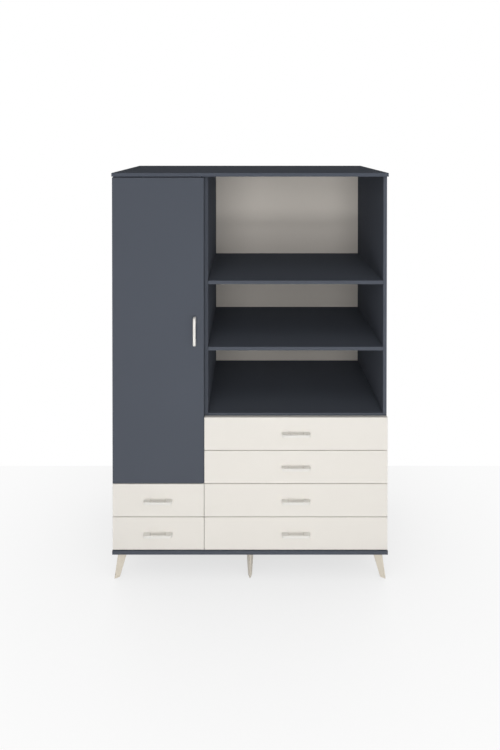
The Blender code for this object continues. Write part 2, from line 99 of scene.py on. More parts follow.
# Colour that drifts between a darker and a lighter tone of itself, in clouds and in fine specks
def mottled(tree, place, settings):
    clouds = addNode(tree, "ShaderNodeTexNoise", {"Vector": place.outputs["Object"],
                     "Scale": settings["cloudScale"], "Detail": grain["cloudDetail"],
                     "Roughness": grain["cloudRoughness"]})
    specks = addNode(tree, "ShaderNodeTexNoise", {"Vector": place.outputs["Object"],
                     "Scale": settings["speckScale"], "Detail": grain["speckDetail"],
                     "Roughness": grain["speckRoughness"]})
    both = addNode(tree, "ShaderNodeMix", {"Factor": settings["speckShare"],
                   "A": clouds.outputs["Fac"], "B": specks.outputs["Fac"]}, data_type="FLOAT")
    tones = addNode(tree, "ShaderNodeMix", {"Factor": both.outputs["Result"]}, data_type="RGBA")
    tones.inputs["A"].default_value = shade(settings["colour"], 1 - settings["drift"])
    tones.inputs["B"].default_value = shade(settings["colour"], 1 + settings["drift"])
    return tones.outputs["Result"], clouds.outputs["Fac"], specks.outputs["Fac"]


def spread(tree, value, low, high):
    span = addNode(tree, "ShaderNodeMapRange", {"Value": value, "From Min": grain["noiseLow"],
                   "From Max": grain["noiseHigh"], "To Min": low, "To Max": high})
    return span.outputs["Result"]


def roughen(tree, shader, height, strength, depth):
    bump = addNode(tree, "ShaderNodeBump", {"Height": height, "Strength": strength, "Distance": depth})
    tree.links.new(bump.outputs["Normal"], shader.inputs["Normal"])


# Faced board: matt foil with a fine pearl, and a slightly smoother band glued round its edges
navyFoil = {
    "colour": (0.082, 0.091, 0.111),
    "drift": 0.05,
    "cloudScale": 2.4,
    "speckScale": 1300.0,
    "speckShare": 0.45,
    "roughness": (0.80, 0.90),
    "pearlDepth": 0.00006,
    "specular": 0.03,
    "bandFactor": 1.01,
    "bandRoughness": 0.70,
}
creamFoil = {
    "colour": (0.750, 0.721, 0.672),
    "drift": 0.012,
    "cloudScale": 2.0,
    "speckScale": 1300.0,
    "speckShare": 0.5,
    "roughness": (0.46, 0.56),
    "pearlDepth": 0.00005,
    "specular": 0.35,
    "bandFactor": 1.02,
    "bandRoughness": 0.40,
}
trayFoil = {
    "colour": (0.76, 0.755, 0.73),
    "drift": 0.02,
    "cloudScale": 3.0,
    "speckScale": 900.0,
    "speckShare": 0.6,
    "roughness": (0.5, 0.62),
    "pearlDepth": 0.00006,
    "specular": 0.35,
    "bandFactor": 0.97,
    "bandRoughness": 0.5,
}


def makeFoil(name, settings, faceAxis, **changes):
    settings = {**settings, **changes}
    material, tree, shader, place = startMaterial(name)
    colour, _, specks = mottled(tree, place, settings)
    # the faces look along faceAxis, and everything that looks another way is edge band
    directions = addNode(tree, "ShaderNodeSeparateXYZ", {"Vector": place.outputs["Normal"]})
    facing = addNode(tree, "ShaderNodeMath", {0: directions.outputs[faceAxis]}, operation="ABSOLUTE")
    band = addNode(tree, "ShaderNodeMath", {0: facing.outputs[0], 1: grain["bandLimit"]},
                   operation="LESS_THAN")
    # the band factor sets the edge band's own tone, and on the shelves, the top and the partitions it also
    # carries painted light and shade
    edgeMixWithPaintedShade = addNode(tree, "ShaderNodeMix", {"Factor": band.outputs[0], "A": colour}, data_type="RGBA")
    edgeMixWithPaintedShade.inputs["B"].default_value = shade(settings["colour"], settings["bandFactor"])
    tree.links.new(edgeMixWithPaintedShade.outputs["Result"], shader.inputs["Base Color"])
    faceRoughness = spread(tree, specks, *settings["roughness"])
    roughness = addNode(tree, "ShaderNodeMix", {"Factor": band.outputs[0], "A": faceRoughness,
                        "B": settings["bandRoughness"]}, data_type="FLOAT")
    tree.links.new(roughness.outputs["Result"], shader.inputs["Roughness"])
    shader.inputs["Specular IOR Level"].default_value = settings["specular"]
    roughen(tree, shader, specks, grain["pearlBump"], settings["pearlDepth"])
    return material


# Faced hardboard: flatter and a little woolly, with short pressed fibres
hardboard = {
    "colour": (0.775, 0.724, 0.660),
    "drift": 0.03,
    "cloudScale": 3.5,
    "speckScale": 420.0,
    "speckShare": 0.4,
    "fibreScale": (260.0, 260.0, 60.0),
    "roughness": (0.62, 0.74),
    "fibreDepth": 0.00008,
}
trayBoard = {
    "colour": (0.76, 0.75, 0.72),
    "drift": 0.03,
    "cloudScale": 5.0,
    "speckScale": 420.0,
    "speckShare": 0.4,
    "fibreScale": (260.0, 60.0, 260.0),
    "roughness": (0.55, 0.68),
    "fibreDepth": 0.00008,
}


def makeHardboard(name, settings):
    material, tree, shader, place = startMaterial(name)
    colour = mottled(tree, place, settings)[0]
    tree.links.new(colour, shader.inputs["Base Color"])
    stretched = addNode(tree, "ShaderNodeMapping", {"Vector": place.outputs["Object"],
                        "Scale": settings["fibreScale"]})
    fibres = addNode(tree, "ShaderNodeTexNoise", {"Vector": stretched.outputs["Vector"], "Scale": 1.0,
                     "Detail": grain["fibreDetail"], "Distortion": grain["fibreDistortion"]})
    tree.links.new(spread(tree, fibres.outputs["Fac"], *settings["roughness"]), shader.inputs["Roughness"])
    shader.inputs["Specular IOR Level"].default_value = grain["boardSpecular"]
    roughen(tree, shader, fibres.outputs["Fac"], grain["fibreBump"], settings["fibreDepth"])
    return material


# Satin mouldings: an even colour and the fine spark texture of the tool, shinier on the handles
handleMoulding = {"colour": (0.735, 0.718, 0.680), "roughness": (0.30, 0.40), "drift": 0.015,
                  "specular": 0.9, "cloudScale": 14.0, "speckScale": 2600.0, "speckShare": 0.35,
                  "sparkDepth": 0.00002}
legMoulding = {"colour": (0.670, 0.615, 0.522), "roughness": (0.34, 0.46), "drift": 0.03,
               "specular": 0.5, "cloudScale": 18.0, "speckScale": 2200.0, "speckShare": 0.4,
               "sparkDepth": 0.00003}
rollerPlastic = {"colour": (0.78, 0.78, 0.76), "roughness": (0.35, 0.5), "drift": 0.02,
                 "specular": 0.5, "cloudScale": 40.0, "speckScale": 1800.0, "speckShare": 0.4,
                 "sparkDepth": 0.00002}


def makeMoulding(name, settings):
    material, tree, shader, place = startMaterial(name)
    colour, clouds, specks = mottled(tree, place, settings)
    tree.links.new(colour, shader.inputs["Base Color"])
    tree.links.new(spread(tree, clouds, *settings["roughness"]), shader.inputs["Roughness"])
    shader.inputs["Specular IOR Level"].default_value = settings["specular"]
    roughen(tree, shader, specks, grain["sparkBump"], settings["sparkDepth"])
    return material


# Metal parts: powder-coated runners, nickel-plated hinges and zinc screws
powderCoat = {"colour": (0.74, 0.74, 0.73), "metallic": 0.0, "roughness": (0.32, 0.46), "drift": 0.02,
              "cloudScale": 9.0, "speckScale": 1500.0, "speckShare": 0.5, "scratch": 0.15}
nickelPlate = {"colour": (0.60, 0.595, 0.58), "metallic": 1.0, "roughness": (0.22, 0.34), "drift": 0.05,
               "cloudScale": 30.0, "speckScale": 800.0, "speckShare": 0.3, "scratch": 0.35}
zincPlate = {"colour": (0.56, 0.56, 0.55), "metallic": 1.0, "roughness": (0.28, 0.42), "drift": 0.08,
             "cloudScale": 60.0, "speckScale": 1200.0, "speckShare": 0.4, "scratch": 0.3}


def makeMetal(name, settings):
    material, tree, shader, place = startMaterial(name)
    colour = mottled(tree, place, settings)[0]
    tree.links.new(colour, shader.inputs["Base Color"])
    shader.inputs["Metallic"].default_value = settings["metallic"]
    drawn = addNode(tree, "ShaderNodeMapping", {"Vector": place.outputs["Object"],
                    "Scale": grain["drawnScale"]})
    lines = addNode(tree, "ShaderNodeTexNoise", {"Vector": drawn.outputs["Vector"], "Scale": 1.0,
                    "Detail": grain["drawnDetail"]})
    tree.links.new(spread(tree, lines.outputs["Fac"], *settings["roughness"]), shader.inputs["Roughness"])
    roughen(tree, shader, lines.outputs["Fac"], settings["scratch"], grain["scratchDepth"])
    return material


navyUpright = makeFoil("navy foil on uprights", navyFoil, "X")
navyFront = makeFoil("navy foil on the door", navyFoil, "Y")
# painted light and shade: the shelves' level faces are a little lighter, and their front edges a little
# darker, than the same navy foil on the uprights
shelfNavyWithPaintedLight = makeFoil("navy shelf foil with painted light on its faces", navyFoil, "Z", colour=(0.087, 0.097, 0.118), bandFactor=0.95)
# painted shade: the top board's upper and lower faces are much darker than the navy foil, and its edges are
# brought back up to the navy
topNavyWithPaintedShade = makeFoil("navy top foil with painted shade on its faces", navyFoil, "Z", colour=(0.055, 0.062, 0.077), bandFactor=1.42)
# painted shade: the partitions' front edges are darker, for the shade beside the door that stands proud of
# them
partitionNavyWithPaintedShade = makeFoil("navy partition foil with painted shade on its front edges", navyFoil, "X", bandFactor=0.76)
creamFront = makeFoil("cream foil on drawer fronts", creamFoil, "Y")
traySide = makeFoil("off-white foil on box sides", trayFoil, "X")
trayBack = makeFoil("off-white foil on box backs", trayFoil, "Y")
paleBack = makeHardboard("faced hardboard", hardboard)
trayBottom = makeHardboard("faced hardboard of box bottoms", trayBoard)
creamHandle = makeMoulding("cream handle moulding", handleMoulding)
beigeLeg = makeMoulding("beige leg moulding", legMoulding)
whiteRoller = makeMoulding("white roller plastic", rollerPlastic)
runnerSteel = makeMetal("powder-coated steel", powderCoat)
hingeSteel = makeMetal("nickel-plated steel", nickelPlate)
screwSteel = makeMetal("zinc-plated screw", zincPlate)


def paint(material, *names):
    for name in names:
        nodes[name].data.materials.clear()
        nodes[name].data.materials.append(material)


innerShelves = ["inner_shelf_1", "inner_shelf_2", "inner_shelf_3", "inner_shelf_4"]
paint(shelfNavyWithPaintedLight, "base_board", "deck_left", "deck_right", "shelf_middle", "shelf_upper", *innerShelves)
paint(topNavyWithPaintedShade, "top_board")
paint(navyUpright, "side_left", "side_right")
paint(partitionNavyWithPaintedShade, "partition_left", "partition_right")
paint(navyFront, "door_panel")
paint(paleBack, "back_left", "back_right")
for drawer in allDrawers:
    paint(creamFront, drawer + "_front")
for number in (1, 2, 3):
    paint(hingeSteel, f"hinge_cup_{number}", f"hinge_arm_{number}")
print("finishes on the CAD nodes")


# Meshes of new pieces
def finishPiece(name, bm, material, body, sharpAngle, stands=()):
    bmesh.ops.remove_doubles(bm, verts=bm.verts, dist=1e-7)
    bmesh.ops.recalc_face_normals(bm, faces=bm.faces)
    mesh = bpy.data.meshes.new(name)
    bm.to_mesh(mesh)
    bm.free()
    mesh.shade_smooth()
    mesh.set_sharp_from_angle(angle=math.radians(sharpAngle))
    mesh.materials.append(material)
    piece = bpy.data.objects.new(name, mesh)
    bpy.context.scene.collection.objects.link(piece)
    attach(piece, body)
    if stands:
        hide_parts(*stands)


def extrude(bm, outline, run):
    face = bm.faces.new([bm.verts.new(point) for point in outline])
    grown = bmesh.ops.extrude_face_region(bm, geom=[face])["geom"]
    moved = [item for item in grown if isinstance(item, bmesh.types.BMVert)]
    bmesh.ops.translate(bm, verts=moved, vec=run)
    return set(moved)


def loft(bm, rings):
    made = [[bm.verts.new(point) for point in ring] for ring in rings]
    for ring, after in zip(made, made[1:]):
        for index in range(len(ring)):
            following = (index + 1) % len(ring)
            bm.faces.new((ring[index], ring[following], after[following], after[index]))
    bm.faces.new(made[0][::-1])
    bm.faces.new(made[-1])


def arc(centre, start, end, steps):
    # quarter turn from one offset of the centre to another
    turns = [math.pi / 2 * step / steps for step in range(steps + 1)]
    return [centre + start * math.cos(turn) + end * math.sin(turn) for turn in turns]


# Bridge handles: full ends on the front, a slimmer bar over the fingers
handle = {
    "length": 0.124,
    "band": 0.0115,
    "reach": 0.022,
    "bar": 0.006,
    "opening": 0.068,
    "outerRadius": 0.010,
    "innerRadius": 0.008,
    "rounding": 0.0022,
    "roundingSteps": 4,
    "cornerSteps": 12,
    "seat": 0.0003,
    "sharpAngle": 40.0,
}


def handlePlan():
    half, gap = handle["length"] / 2, handle["opening"] / 2
    face, under = -handle["reach"], -handle["reach"] + handle["bar"]
    outer, inner, seat = handle["outerRadius"], handle["innerRadius"], -handle["seat"]
    steps = handle["cornerSteps"]
    right, back = Vector((1, 0)), Vector((0, 1))
    points = [Vector((half, seat))]
    points += arc(Vector((half - outer, face + outer)), right * outer, -back * outer, steps)
    points += arc(Vector((-half + outer, face + outer)), -back * outer, -right * outer, steps)
    points += [Vector((-half, seat)), Vector((-gap, seat))]
    points += arc(Vector((-gap + inner, under + inner)), -right * inner, -back * inner, steps)
    points += arc(Vector((gap - inner, under + inner)), -back * inner, right * inner, steps)
    points += [Vector((gap, seat))]
    return points


def makeHandle(node, body, upright):
    low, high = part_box(node)
    centre = (low + high) / 2
    centre.y = high.y + handle["seat"]
    bm = bmesh.new()
    across = handle["band"] / 2
    if upright:
        outline = [centre + Vector((-across, point.y, point.x)) for point in handlePlan()]
        moved = extrude(bm, outline, (handle["band"], 0, 0))
    else:
        outline = [centre + Vector((point.x, point.y, -across)) for point in handlePlan()]
        moved = extrude(bm, outline, (0, 0, handle["band"]))
    rims = [edge for edge in bm.edges
            if (edge.verts[0] in moved) == (edge.verts[1] in moved)
            and min(vert.co.y for vert in edge.verts) < centre.y - 2 * handle["seat"]]
    bmesh.ops.bevel(bm, geom=rims, offset=handle["rounding"], segments=handle["roundingSteps"],
                     profile=0.5, affect="EDGES")
    finishPiece(node + "_moulding", bm, creamHandle, body, handle["sharpAngle"], [node])


for drawer in allDrawers:
    makeHandle(drawer + "_handle", drawer, False)
makeHandle("door_handle", "door", True)
print("handles made")


# Legs: rounded wedges that lean outwards under a mounting plate
leg = {
    "height": 0.115,
    "footLength": 0.026,
    "footWidth": 0.0185,
    "topLength": 0.046,
    "topWidth": 0.038,
    "splay": 0.018,
    "tipShare": 0.28,
    "cornerShare": 0.10,
    "cornerSteps": 9,
    "plateThickness": 0.004,
    "plateMargin": 0.005,
    "plateRadius": 0.0096,
    "tipInsetSide": 0.0042,
    "tipInsetEnd": 0.010,
    "seat": 0.0003,
    "footRounding": 0.0006,
    "footStepShare": 0.3,
    "plateEdge": 0.0012,
    "plateSteps": 5,
    "rings": 6,
    "sharpAngle": 50.0,
}


def wedgeRing(length, width, tip, direction, z, inset=0.0):
    across = Vector((-direction.y, direction.x, 0))
    middle = tip - direction * length * 2 / 3
    corners = [tip, tip - direction * length + across * width / 2,
               tip - direction * length - across * width / 2]
    points = []
    for index, corner in enumerate(corners):
        cutBack = (leg["cornerShare"] if index else leg["tipShare"]) * length
        toLast = (corners[index - 1] - corner).normalized()
        toNext = (corners[(index + 1) % 3] - corner).normalized()
        start, end = corner + toLast * cutBack, corner + toNext * cutBack
        for step in range(leg["cornerSteps"] + 1):
            share = step / leg["cornerSteps"]
            point = start.lerp(corner, share).lerp(corner.lerp(end, share), share)
            point = point + (middle - point).normalized() * inset
            points.append(Vector((point.x, point.y, z)))
    return points


def legTip(row, place):
    low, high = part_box("base_board")
    x = {"left": low.x + leg["tipInsetSide"], "middle": 0.0, "right": high.x - leg["tipInsetSide"]}[place]
    y = low.y + leg["tipInsetEnd"] if row == "front" else high.y - leg["tipInsetEnd"]
    sideways = {"left": -1, "middle": 0, "right": 1}[place]
    outward = -1 if row == "front" else 1
    return Vector((x, y, 0)), Vector((sideways, outward, 0)).normalized()


def makeLeg(row, place):
    tip, direction = legTip(row, place)
    plateUnder = leg["height"] - leg["seat"] - leg["plateThickness"]
    rings = []
    rounding, step = leg["footRounding"], leg["footRounding"] * leg["footStepShare"]
    stations = [(0.0, rounding), (step, step), (rounding, 0.0)]
    stations += [(plateUnder * ring / leg["rings"], 0.0) for ring in range(1, leg["rings"] + 1)]
    for z, inset in stations:
        share = z / plateUnder
        length = leg["footLength"] + (leg["topLength"] - leg["footLength"]) * share
        width = leg["footWidth"] + (leg["topWidth"] - leg["footWidth"]) * share
        rings.append(wedgeRing(length, width, tip - direction * leg["splay"] * share, direction, z, inset))
    bm = bmesh.new()
    loft(bm, rings)
    # the plate, with its edge softened
    across = Vector((-direction.y, direction.x, 0))
    centre = tip - direction * (leg["splay"] + leg["topLength"] / 2)
    halfLength = leg["topLength"] / 2 + leg["plateMargin"]
    halfWidth = leg["topWidth"] / 2 + leg["plateMargin"]
    radius, edge = leg["plateRadius"], leg["plateEdge"]
    plate = []
    for z, inset in ((plateUnder, edge), (plateUnder + edge, 0.0), (leg["height"] - leg["seat"], 0.0)):
        ring = []
        for alongSign, acrossSign in ((1, 1), (-1, 1), (-1, -1), (1, -1)):
            corner = (centre + direction * (halfLength - radius) * alongSign
                      + across * (halfWidth - radius) * acrossSign)
            first = (direction * alongSign, across * acrossSign)
            start, end = first if alongSign == acrossSign else first[::-1]
            ring += arc(corner, start * (radius - inset), end * (radius - inset), leg["plateSteps"])
        plate.append([Vector((point.x, point.y, z)) for point in ring])
    loft(bm, plate)
    name = f"leg_{row}_{place}"
    finishPiece(name + "_moulding", bm, beigeLeg, "carcass", leg["sharpAngle"], [name])


for row in ("front", "rear"):
    for place in ("left", "middle", "right"):
        makeLeg(row, place)
print("legs made")


# Small turned and screwed fittings stand on a face and grow out along an axis
def acrossAxis(axis):
    out = Vector(axis).normalized()
    helper = Vector((0, 0, 1)) if abs(out.z) < 0.9 else Vector((0, 1, 0))
    right = helper.cross(out).normalized()
    return right, out.cross(right), out


def turned(bm, centre, axis, profile, sides):
    right, up, out = acrossAxis(axis)
    turns = [math.tau * step / sides for step in range(sides)]
    loft(bm, [[Vector(centre) + (right * math.cos(turn) + up * math.sin(turn)) * radius + out * rise
               for turn in turns] for radius, rise in profile])


screwHead = {
    "radius": 0.0035,
    "rise": 0.0015,
    "profile": ((1.0, 0.0), (1.0, 0.35), (0.92, 0.72), (0.74, 1.0)),
    "sides": 24,
    "crossReach": 0.52,
    "crossHalf": 0.13,
    "recess": 0.75,
    "sharpAngle": 30.0,
}


def addScrew(bm, centre, axis, radius=screwHead["radius"], rise=screwHead["rise"]):
    right, up, out = acrossAxis(axis)
    centre = Vector(centre)
    sides = screwHead["sides"]
    turns = [math.tau * (step + 1) / sides for step in range(sides)]
    rings = [[bm.verts.new(centre + (right * math.cos(turn) + up * math.sin(turn)) * radius * wide
                           + out * rise * high) for turn in turns] for wide, high in screwHead["profile"]]
    for ring, after in zip(rings, rings[1:]):
        for index in range(sides):
            following = (index + 1) % sides
            bm.faces.new((ring[index], ring[following], after[following], after[index]))
    bm.faces.new(rings[0][::-1])
    # the cross is sunk into the crown, with half as many points as the crown has
    reach, half = screwHead["crossReach"] * radius, screwHead["crossHalf"] * radius
    arms = [(reach, half), (half, half), (half, reach)]
    star = arms + [(-x, y) for x, y in arms[::-1]]
    star += [(-x, -y) for x, y in star]
    rim = [bm.verts.new(centre + right * x + up * y + out * rise) for x, y in star]
    floor = [bm.verts.new(vert.co - out * rise * screwHead["recess"]) for vert in rim]
    crown = rings[-1]
    for index in range(len(star)):
        following = (index + 1) % len(star)
        bm.faces.new((crown[2 * index], crown[2 * index + 1], rim[index]))
        bm.faces.new((crown[2 * index + 1], crown[(2 * index + 2) % sides], rim[following], rim[index]))
        bm.faces.new((rim[index], rim[following], floor[following], floor[index]))
    bm.faces.new(floor)


def screws(name, places, axis, body, **size):
    bm = bmesh.new()
    for place in places:
        addScrew(bm, place, axis, **size)
    finishPiece(name, bm, screwSteel, body, screwHead["sharpAngle"])


def addBoard(bm, low, high, rounding):
    box = bmesh.ops.create_cube(bm, size=1)["verts"]
    bmesh.ops.scale(bm, verts=box, vec=Vector(high) - Vector(low))
    bmesh.ops.translate(bm, verts=box, vec=(Vector(low) + Vector(high)) / 2)
    edges = list({edge for vert in box for edge in vert.link_edges})
    bmesh.ops.bevel(bm, geom=edges, offset=rounding, segments=2, profile=0.5, affect="EDGES")


# Drawer boxes: two sides, a back and a bottom, on angled rails with a roller at the rear
drawerBox = {
    "height": 0.100,
    "board": 0.012,
    "edgeRounding": 0.0006,
    "sideOffset": 0.0125,
    "flangeStart": 0.002,
    "seat": 0.0003,
    "bottomRise": 0.010,
    "bottomThickness": 0.003,
    "bottomRounding": 0.0003,
    "steel": 0.0012,
    "flangeRise": 0.0158,
    "rollerRadius": 0.009,
    "rollerStart": 0.0018,
    "rollerInset": 0.014,
    "rollerRise": 0.0065,
    "rollerSides": 32,
    "railScrewPlaces": (0.05, 0.22, 0.40),
    "railScrewRise": 0.0008,
    "handleScrewSpacing": 0.096,
    "handleScrew": {"radius": 0.004, "rise": 0.0022},
    "sharpAngle": 30.0,
}
# radius and rise of a roller's rings, from its flat rear to the hub in front
rollerProfile = ((0.0030, 0.0), (0.0082, 0.0), (0.0090, 0.0009), (0.0090, 0.0083), (0.0082, 0.0092),
                 (0.0056, 0.0092), (0.0050, 0.0084), (0.0030, 0.0084), (0.0027, 0.0089), (0.0018, 0.0091))


def makeDrawerBox(drawer):
    low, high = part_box(drawer + "_box")
    near, far, top = low.y, high.y, high.z
    foot = top - drawerBox["height"]
    board, steel, flange = drawerBox["board"], drawerBox["steel"], drawerBox["flangeRise"]
    rounding, angle = drawerBox["edgeRounding"], drawerBox["sharpAngle"]
    walls = ((low.x - drawerBox["flangeStart"], 1), (high.x + drawerBox["flangeStart"], -1))
    sides, rails, rollers = bmesh.new(), bmesh.new(), bmesh.new()
    screwPlaces = []
    for wall, inward in walls:
        start = wall + inward * drawerBox["sideOffset"]
        end = start + inward * board
        addBoard(sides, (min(start, end), near, foot), (max(start, end), far, top), rounding)
        flangeEdge, outside = wall + inward * drawerBox["flangeStart"], start - inward * steel
        profile = ((end, -steel), (outside, -steel), (outside, flange), (flangeEdge, flange),
                   (flangeEdge, flange + steel), (start, flange + steel), (start, 0.0), (end, 0.0))
        extrude(rails, [Vector((x, near, foot + z)) for x, z in profile], (0, far - near, 0))
        rollerPlace = (wall + inward * drawerBox["rollerStart"], far - drawerBox["rollerInset"],
                       foot + drawerBox["rollerRise"])
        turned(rollers, rollerPlace, (inward, 0, 0), rollerProfile, drawerBox["rollerSides"])
        screwPlaces += [((start + end) / 2, near + place, foot - steel)
                        for place in drawerBox["railScrewPlaces"]]
    inner = [wall + inward * (drawerBox["sideOffset"] + board) for wall, inward in walls]
    floorBottom = foot + drawerBox["bottomRise"]
    floorTop = floorBottom + drawerBox["bottomThickness"]
    finishPiece(drawer + "_box_sides", sides, traySide, drawer, angle, [drawer + "_box"])
    back = bmesh.new()
    addBoard(back, (inner[0], far - board, floorTop), (inner[1], far, top), rounding)
    finishPiece(drawer + "_box_back", back, trayBack, drawer, angle)
    bottom = bmesh.new()
    addBoard(bottom, (inner[0], near, floorBottom), (inner[1], far, floorTop), drawerBox["bottomRounding"])
    finishPiece(drawer + "_box_bottom", bottom, trayBottom, drawer, angle)
    finishPiece(drawer + "_rails", rails, runnerSteel, drawer, angle)
    finishPiece(drawer + "_rear_rollers", rollers, whiteRoller, drawer, angle)
    screws(drawer + "_rail_screws", screwPlaces, (0, 0, -1), drawer, rise=drawerBox["railScrewRise"])
    frontLow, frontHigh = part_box(drawer + "_front")
    middle = (frontLow + frontHigh) / 2
    half = drawerBox["handleScrewSpacing"] / 2
    screws(drawer + "_handle_screws", [(middle.x + side * half, frontHigh.y, middle.z) for side in (-1, 1)],
           (0, 1, 0), drawer, **drawerBox["handleScrew"])


# Fixed runners: channels screwed to the uprights, with a roller at the front
channel = {
    "width": 0.0102,
    "web": 0.0012,
    "screwPlaces": (0.035, 0.131, 0.259, 0.387),
    "frontScrewRise": 0.0016,
    "screwRise": 0.0003,
    "sharpAngle": 30.0,
}


def makeChannels(drawer):
    bm, rollers, angle = bmesh.new(), bmesh.new(), channel["sharpAngle"]
    nodeNames = [drawer + "_runner_left", drawer + "_runner_right"]
    places = {}
    for node, inward in zip(nodeNames, (1, -1)):
        low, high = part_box(node)
        web = low.x if inward == 1 else high.x
        start, end = low.y, high.y
        steel, width, height = channel["web"], channel["width"] - drawerBox["seat"], high.z - low.z
        profile = ((0, 0), (width, 0), (width, steel), (steel, steel), (steel, height - steel),
                   (width, height - steel), (width, height), (0, height))
        extrude(bm, [Vector((web + inward * out, start, low.z + up)) for out, up in profile],
                (0, end - start, 0))
        face = web + inward * steel
        rollerPlace = (face + inward * drawerBox["seat"], start + drawerBox["rollerInset"],
                       low.z + steel + drawerBox["seat"] + drawerBox["rollerRadius"])
        turned(rollers, rollerPlace, (inward, 0, 0), rollerProfile, drawerBox["rollerSides"])
        middle = low.z + height / 2
        places[inward] = [(face, start + place, middle) for place in channel["screwPlaces"]]
    finishPiece(drawer + "_channels", bm, runnerSteel, "carcass", angle, nodeNames)
    finishPiece(drawer + "_front_rollers", rollers, whiteRoller, "carcass", angle)
    heads = bmesh.new()
    for inward, spots in places.items():
        for spot in spots:
            nearest = spot is spots[0]
            addScrew(heads, spot, (inward, 0, 0),
                     rise=channel["frontScrewRise"] if nearest else channel["screwRise"])
    finishPiece(drawer + "_channel_screws", heads, screwSteel, "carcass", angle)


# Soft pads that the door and the drawer fronts close against
pad = {
    "radius": 0.004,
    "rise": 0.0012,
    "profile": ((1.0, 0.0), (1.0, 0.4), (0.86, 0.8), (0.5, 1.0)),
    "sides": 20,
    "fromCentre": 0.045,
    "fromDoorEnd": 0.03,
    "sharpAngle": 40.0,
}


def makePads(name, places, body):
    bm = bmesh.new()
    profile = [(wide * pad["radius"], high * pad["rise"]) for wide, high in pad["profile"]]
    for place in places:
        turned(bm, place, (0, 1, 0), profile, pad["sides"])
    finishPiece(name, bm, whiteRoller, body, pad["sharpAngle"])


def upright(node):
    low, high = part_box(node)
    return (low.x + high.x) / 2


for drawer in allDrawers:
    makeDrawerBox(drawer)
    makeChannels(drawer)
    low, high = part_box(drawer + "_front")
    besides = ("side_left", "partition_left") if drawer in leftDrawers else ("partition_right", "side_right")
    middle = (low.z + high.z) / 2
    makePads(drawer + "_pads", [(upright(node), high.y, middle + side * pad["fromCentre"])
                                for node in besides for side in (-1, 1)], drawer)
low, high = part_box("door_panel")
makePads("door_pads", [(upright("partition_left"), high.y, z)
                       for z in (low.z + pad["fromDoorEnd"], high.z - pad["fromDoorEnd"])], "door")
print("drawer boxes and runners made")


# Screws of the hinges, the legs and the base, and the cam fittings under the fixed shelves
fixings = {
    "wingHalf": 0.007,
    "cupScrewHalf": 0.0225,
    "plateThickness": 0.003,
    "plateCentreFromEnd": 0.021,
    "plateScrewHalf": 0.0118,
    "armScrews": (0.010, 0.030),
    "legScrews": ((0.0195, 0.0155), (0.0195, -0.0155), (-0.004, 0.0175), (-0.004, -0.0175)),
    "baseScrewInset": 0.110,
    "camInset": 0.034,
    "camDepth": 0.050,
    "cupScrew": {"radius": 0.0034},
    "plateScrew": {"radius": 0.0032},
    "armScrew": {"radius": 0.0030, "rise": 0.0010},
    "baseScrew": {"radius": 0.005, "rise": 0.0006},
    "cam": {"radius": 0.0075, "rise": 0.0005},
}

cupScrews, plateScrews, armScrews = [], [], []
for number in (1, 2, 3):
    low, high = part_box(f"hinge_cup_{number}")
    middle = (low.z + high.z) / 2
    cupScrews += [(high.x - fixings["wingHalf"], high.y, middle + side * fixings["cupScrewHalf"])
                  for side in (-1, 1)]
    low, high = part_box(f"hinge_arm_{number}")
    plateScrews += [(low.x + fixings["plateThickness"], high.y - fixings["plateCentreFromEnd"],
                     middle + side * fixings["plateScrewHalf"]) for side in (-1, 1)]
    armScrews += [(high.x, high.y - place, middle) for place in fixings["armScrews"]]
screws("hinge_cup_screws", cupScrews, (0, 1, 0), "door", **fixings["cupScrew"])
screws("hinge_plate_screws", plateScrews, (1, 0, 0), "carcass", **fixings["plateScrew"])
screws("hinge_arm_screws", armScrews, (1, 0, 0), "carcass", **fixings["armScrew"])
low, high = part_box("door_handle")
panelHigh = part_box("door_panel")[1]
half = drawerBox["handleScrewSpacing"] / 2
screws("door_handle_screws", [((low.x + high.x) / 2, panelHigh.y, (low.z + high.z) / 2 + side * half)
                              for side in (-1, 1)], (0, 1, 0), "door", **drawerBox["handleScrew"])

legScrewPlaces = []
for row in ("front", "rear"):
    for place in ("left", "middle", "right"):
        tip, direction = legTip(row, place)
        across = Vector((-direction.y, direction.x, 0))
        centre = tip - direction * (leg["splay"] + leg["topLength"] / 2)
        centre.z = leg["height"] - leg["seat"] - leg["plateThickness"]
        legScrewPlaces += [centre + direction * along + across * aside
                           for along, aside in fixings["legScrews"]]
screws("leg_screws", legScrewPlaces, (0, 0, -1), "carcass")

low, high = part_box("base_board")
screws("base_screws", [(upright(node), y, low.z)
                       for node in ("side_left", "partition_left", "partition_right", "side_right")
                       for y in (low.y + fixings["baseScrewInset"], high.y - fixings["baseScrewInset"])],
       (0, 0, -1), "carcass", **fixings["baseScrew"])
camPlaces = []
for node in ("deck_left", "deck_right", "shelf_middle", "shelf_upper"):
    low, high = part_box(node)
    camPlaces += [(x, y, low.z) for x in (low.x + fixings["camInset"], high.x - fixings["camInset"])
                  for y in (low.y + fixings["camDepth"], high.y - fixings["camDepth"])]
screws("cam_fittings", camPlaces, (0, 0, -1), "carcass", **fixings["cam"])

# Pins with a flat tongue carry the loose shelves
shelfPin = {
    "collarRadius": 0.0045,
    "collar": 0.0012,
    "tongueLength": 0.010,
    "tongueWidth": 0.008,
    "tongueThickness": 0.0016,
    "tongueRounding": 0.0003,
    "collarProfile": ((1.0, 0.0), (1.0, 0.6), (0.85, 1.0)),
    "collarSides": 24,
    "sunkShare": 0.5,
    "fromEnd": 0.037,
    "seat": 0.0003,
    "sharpAngle": 30.0,
}


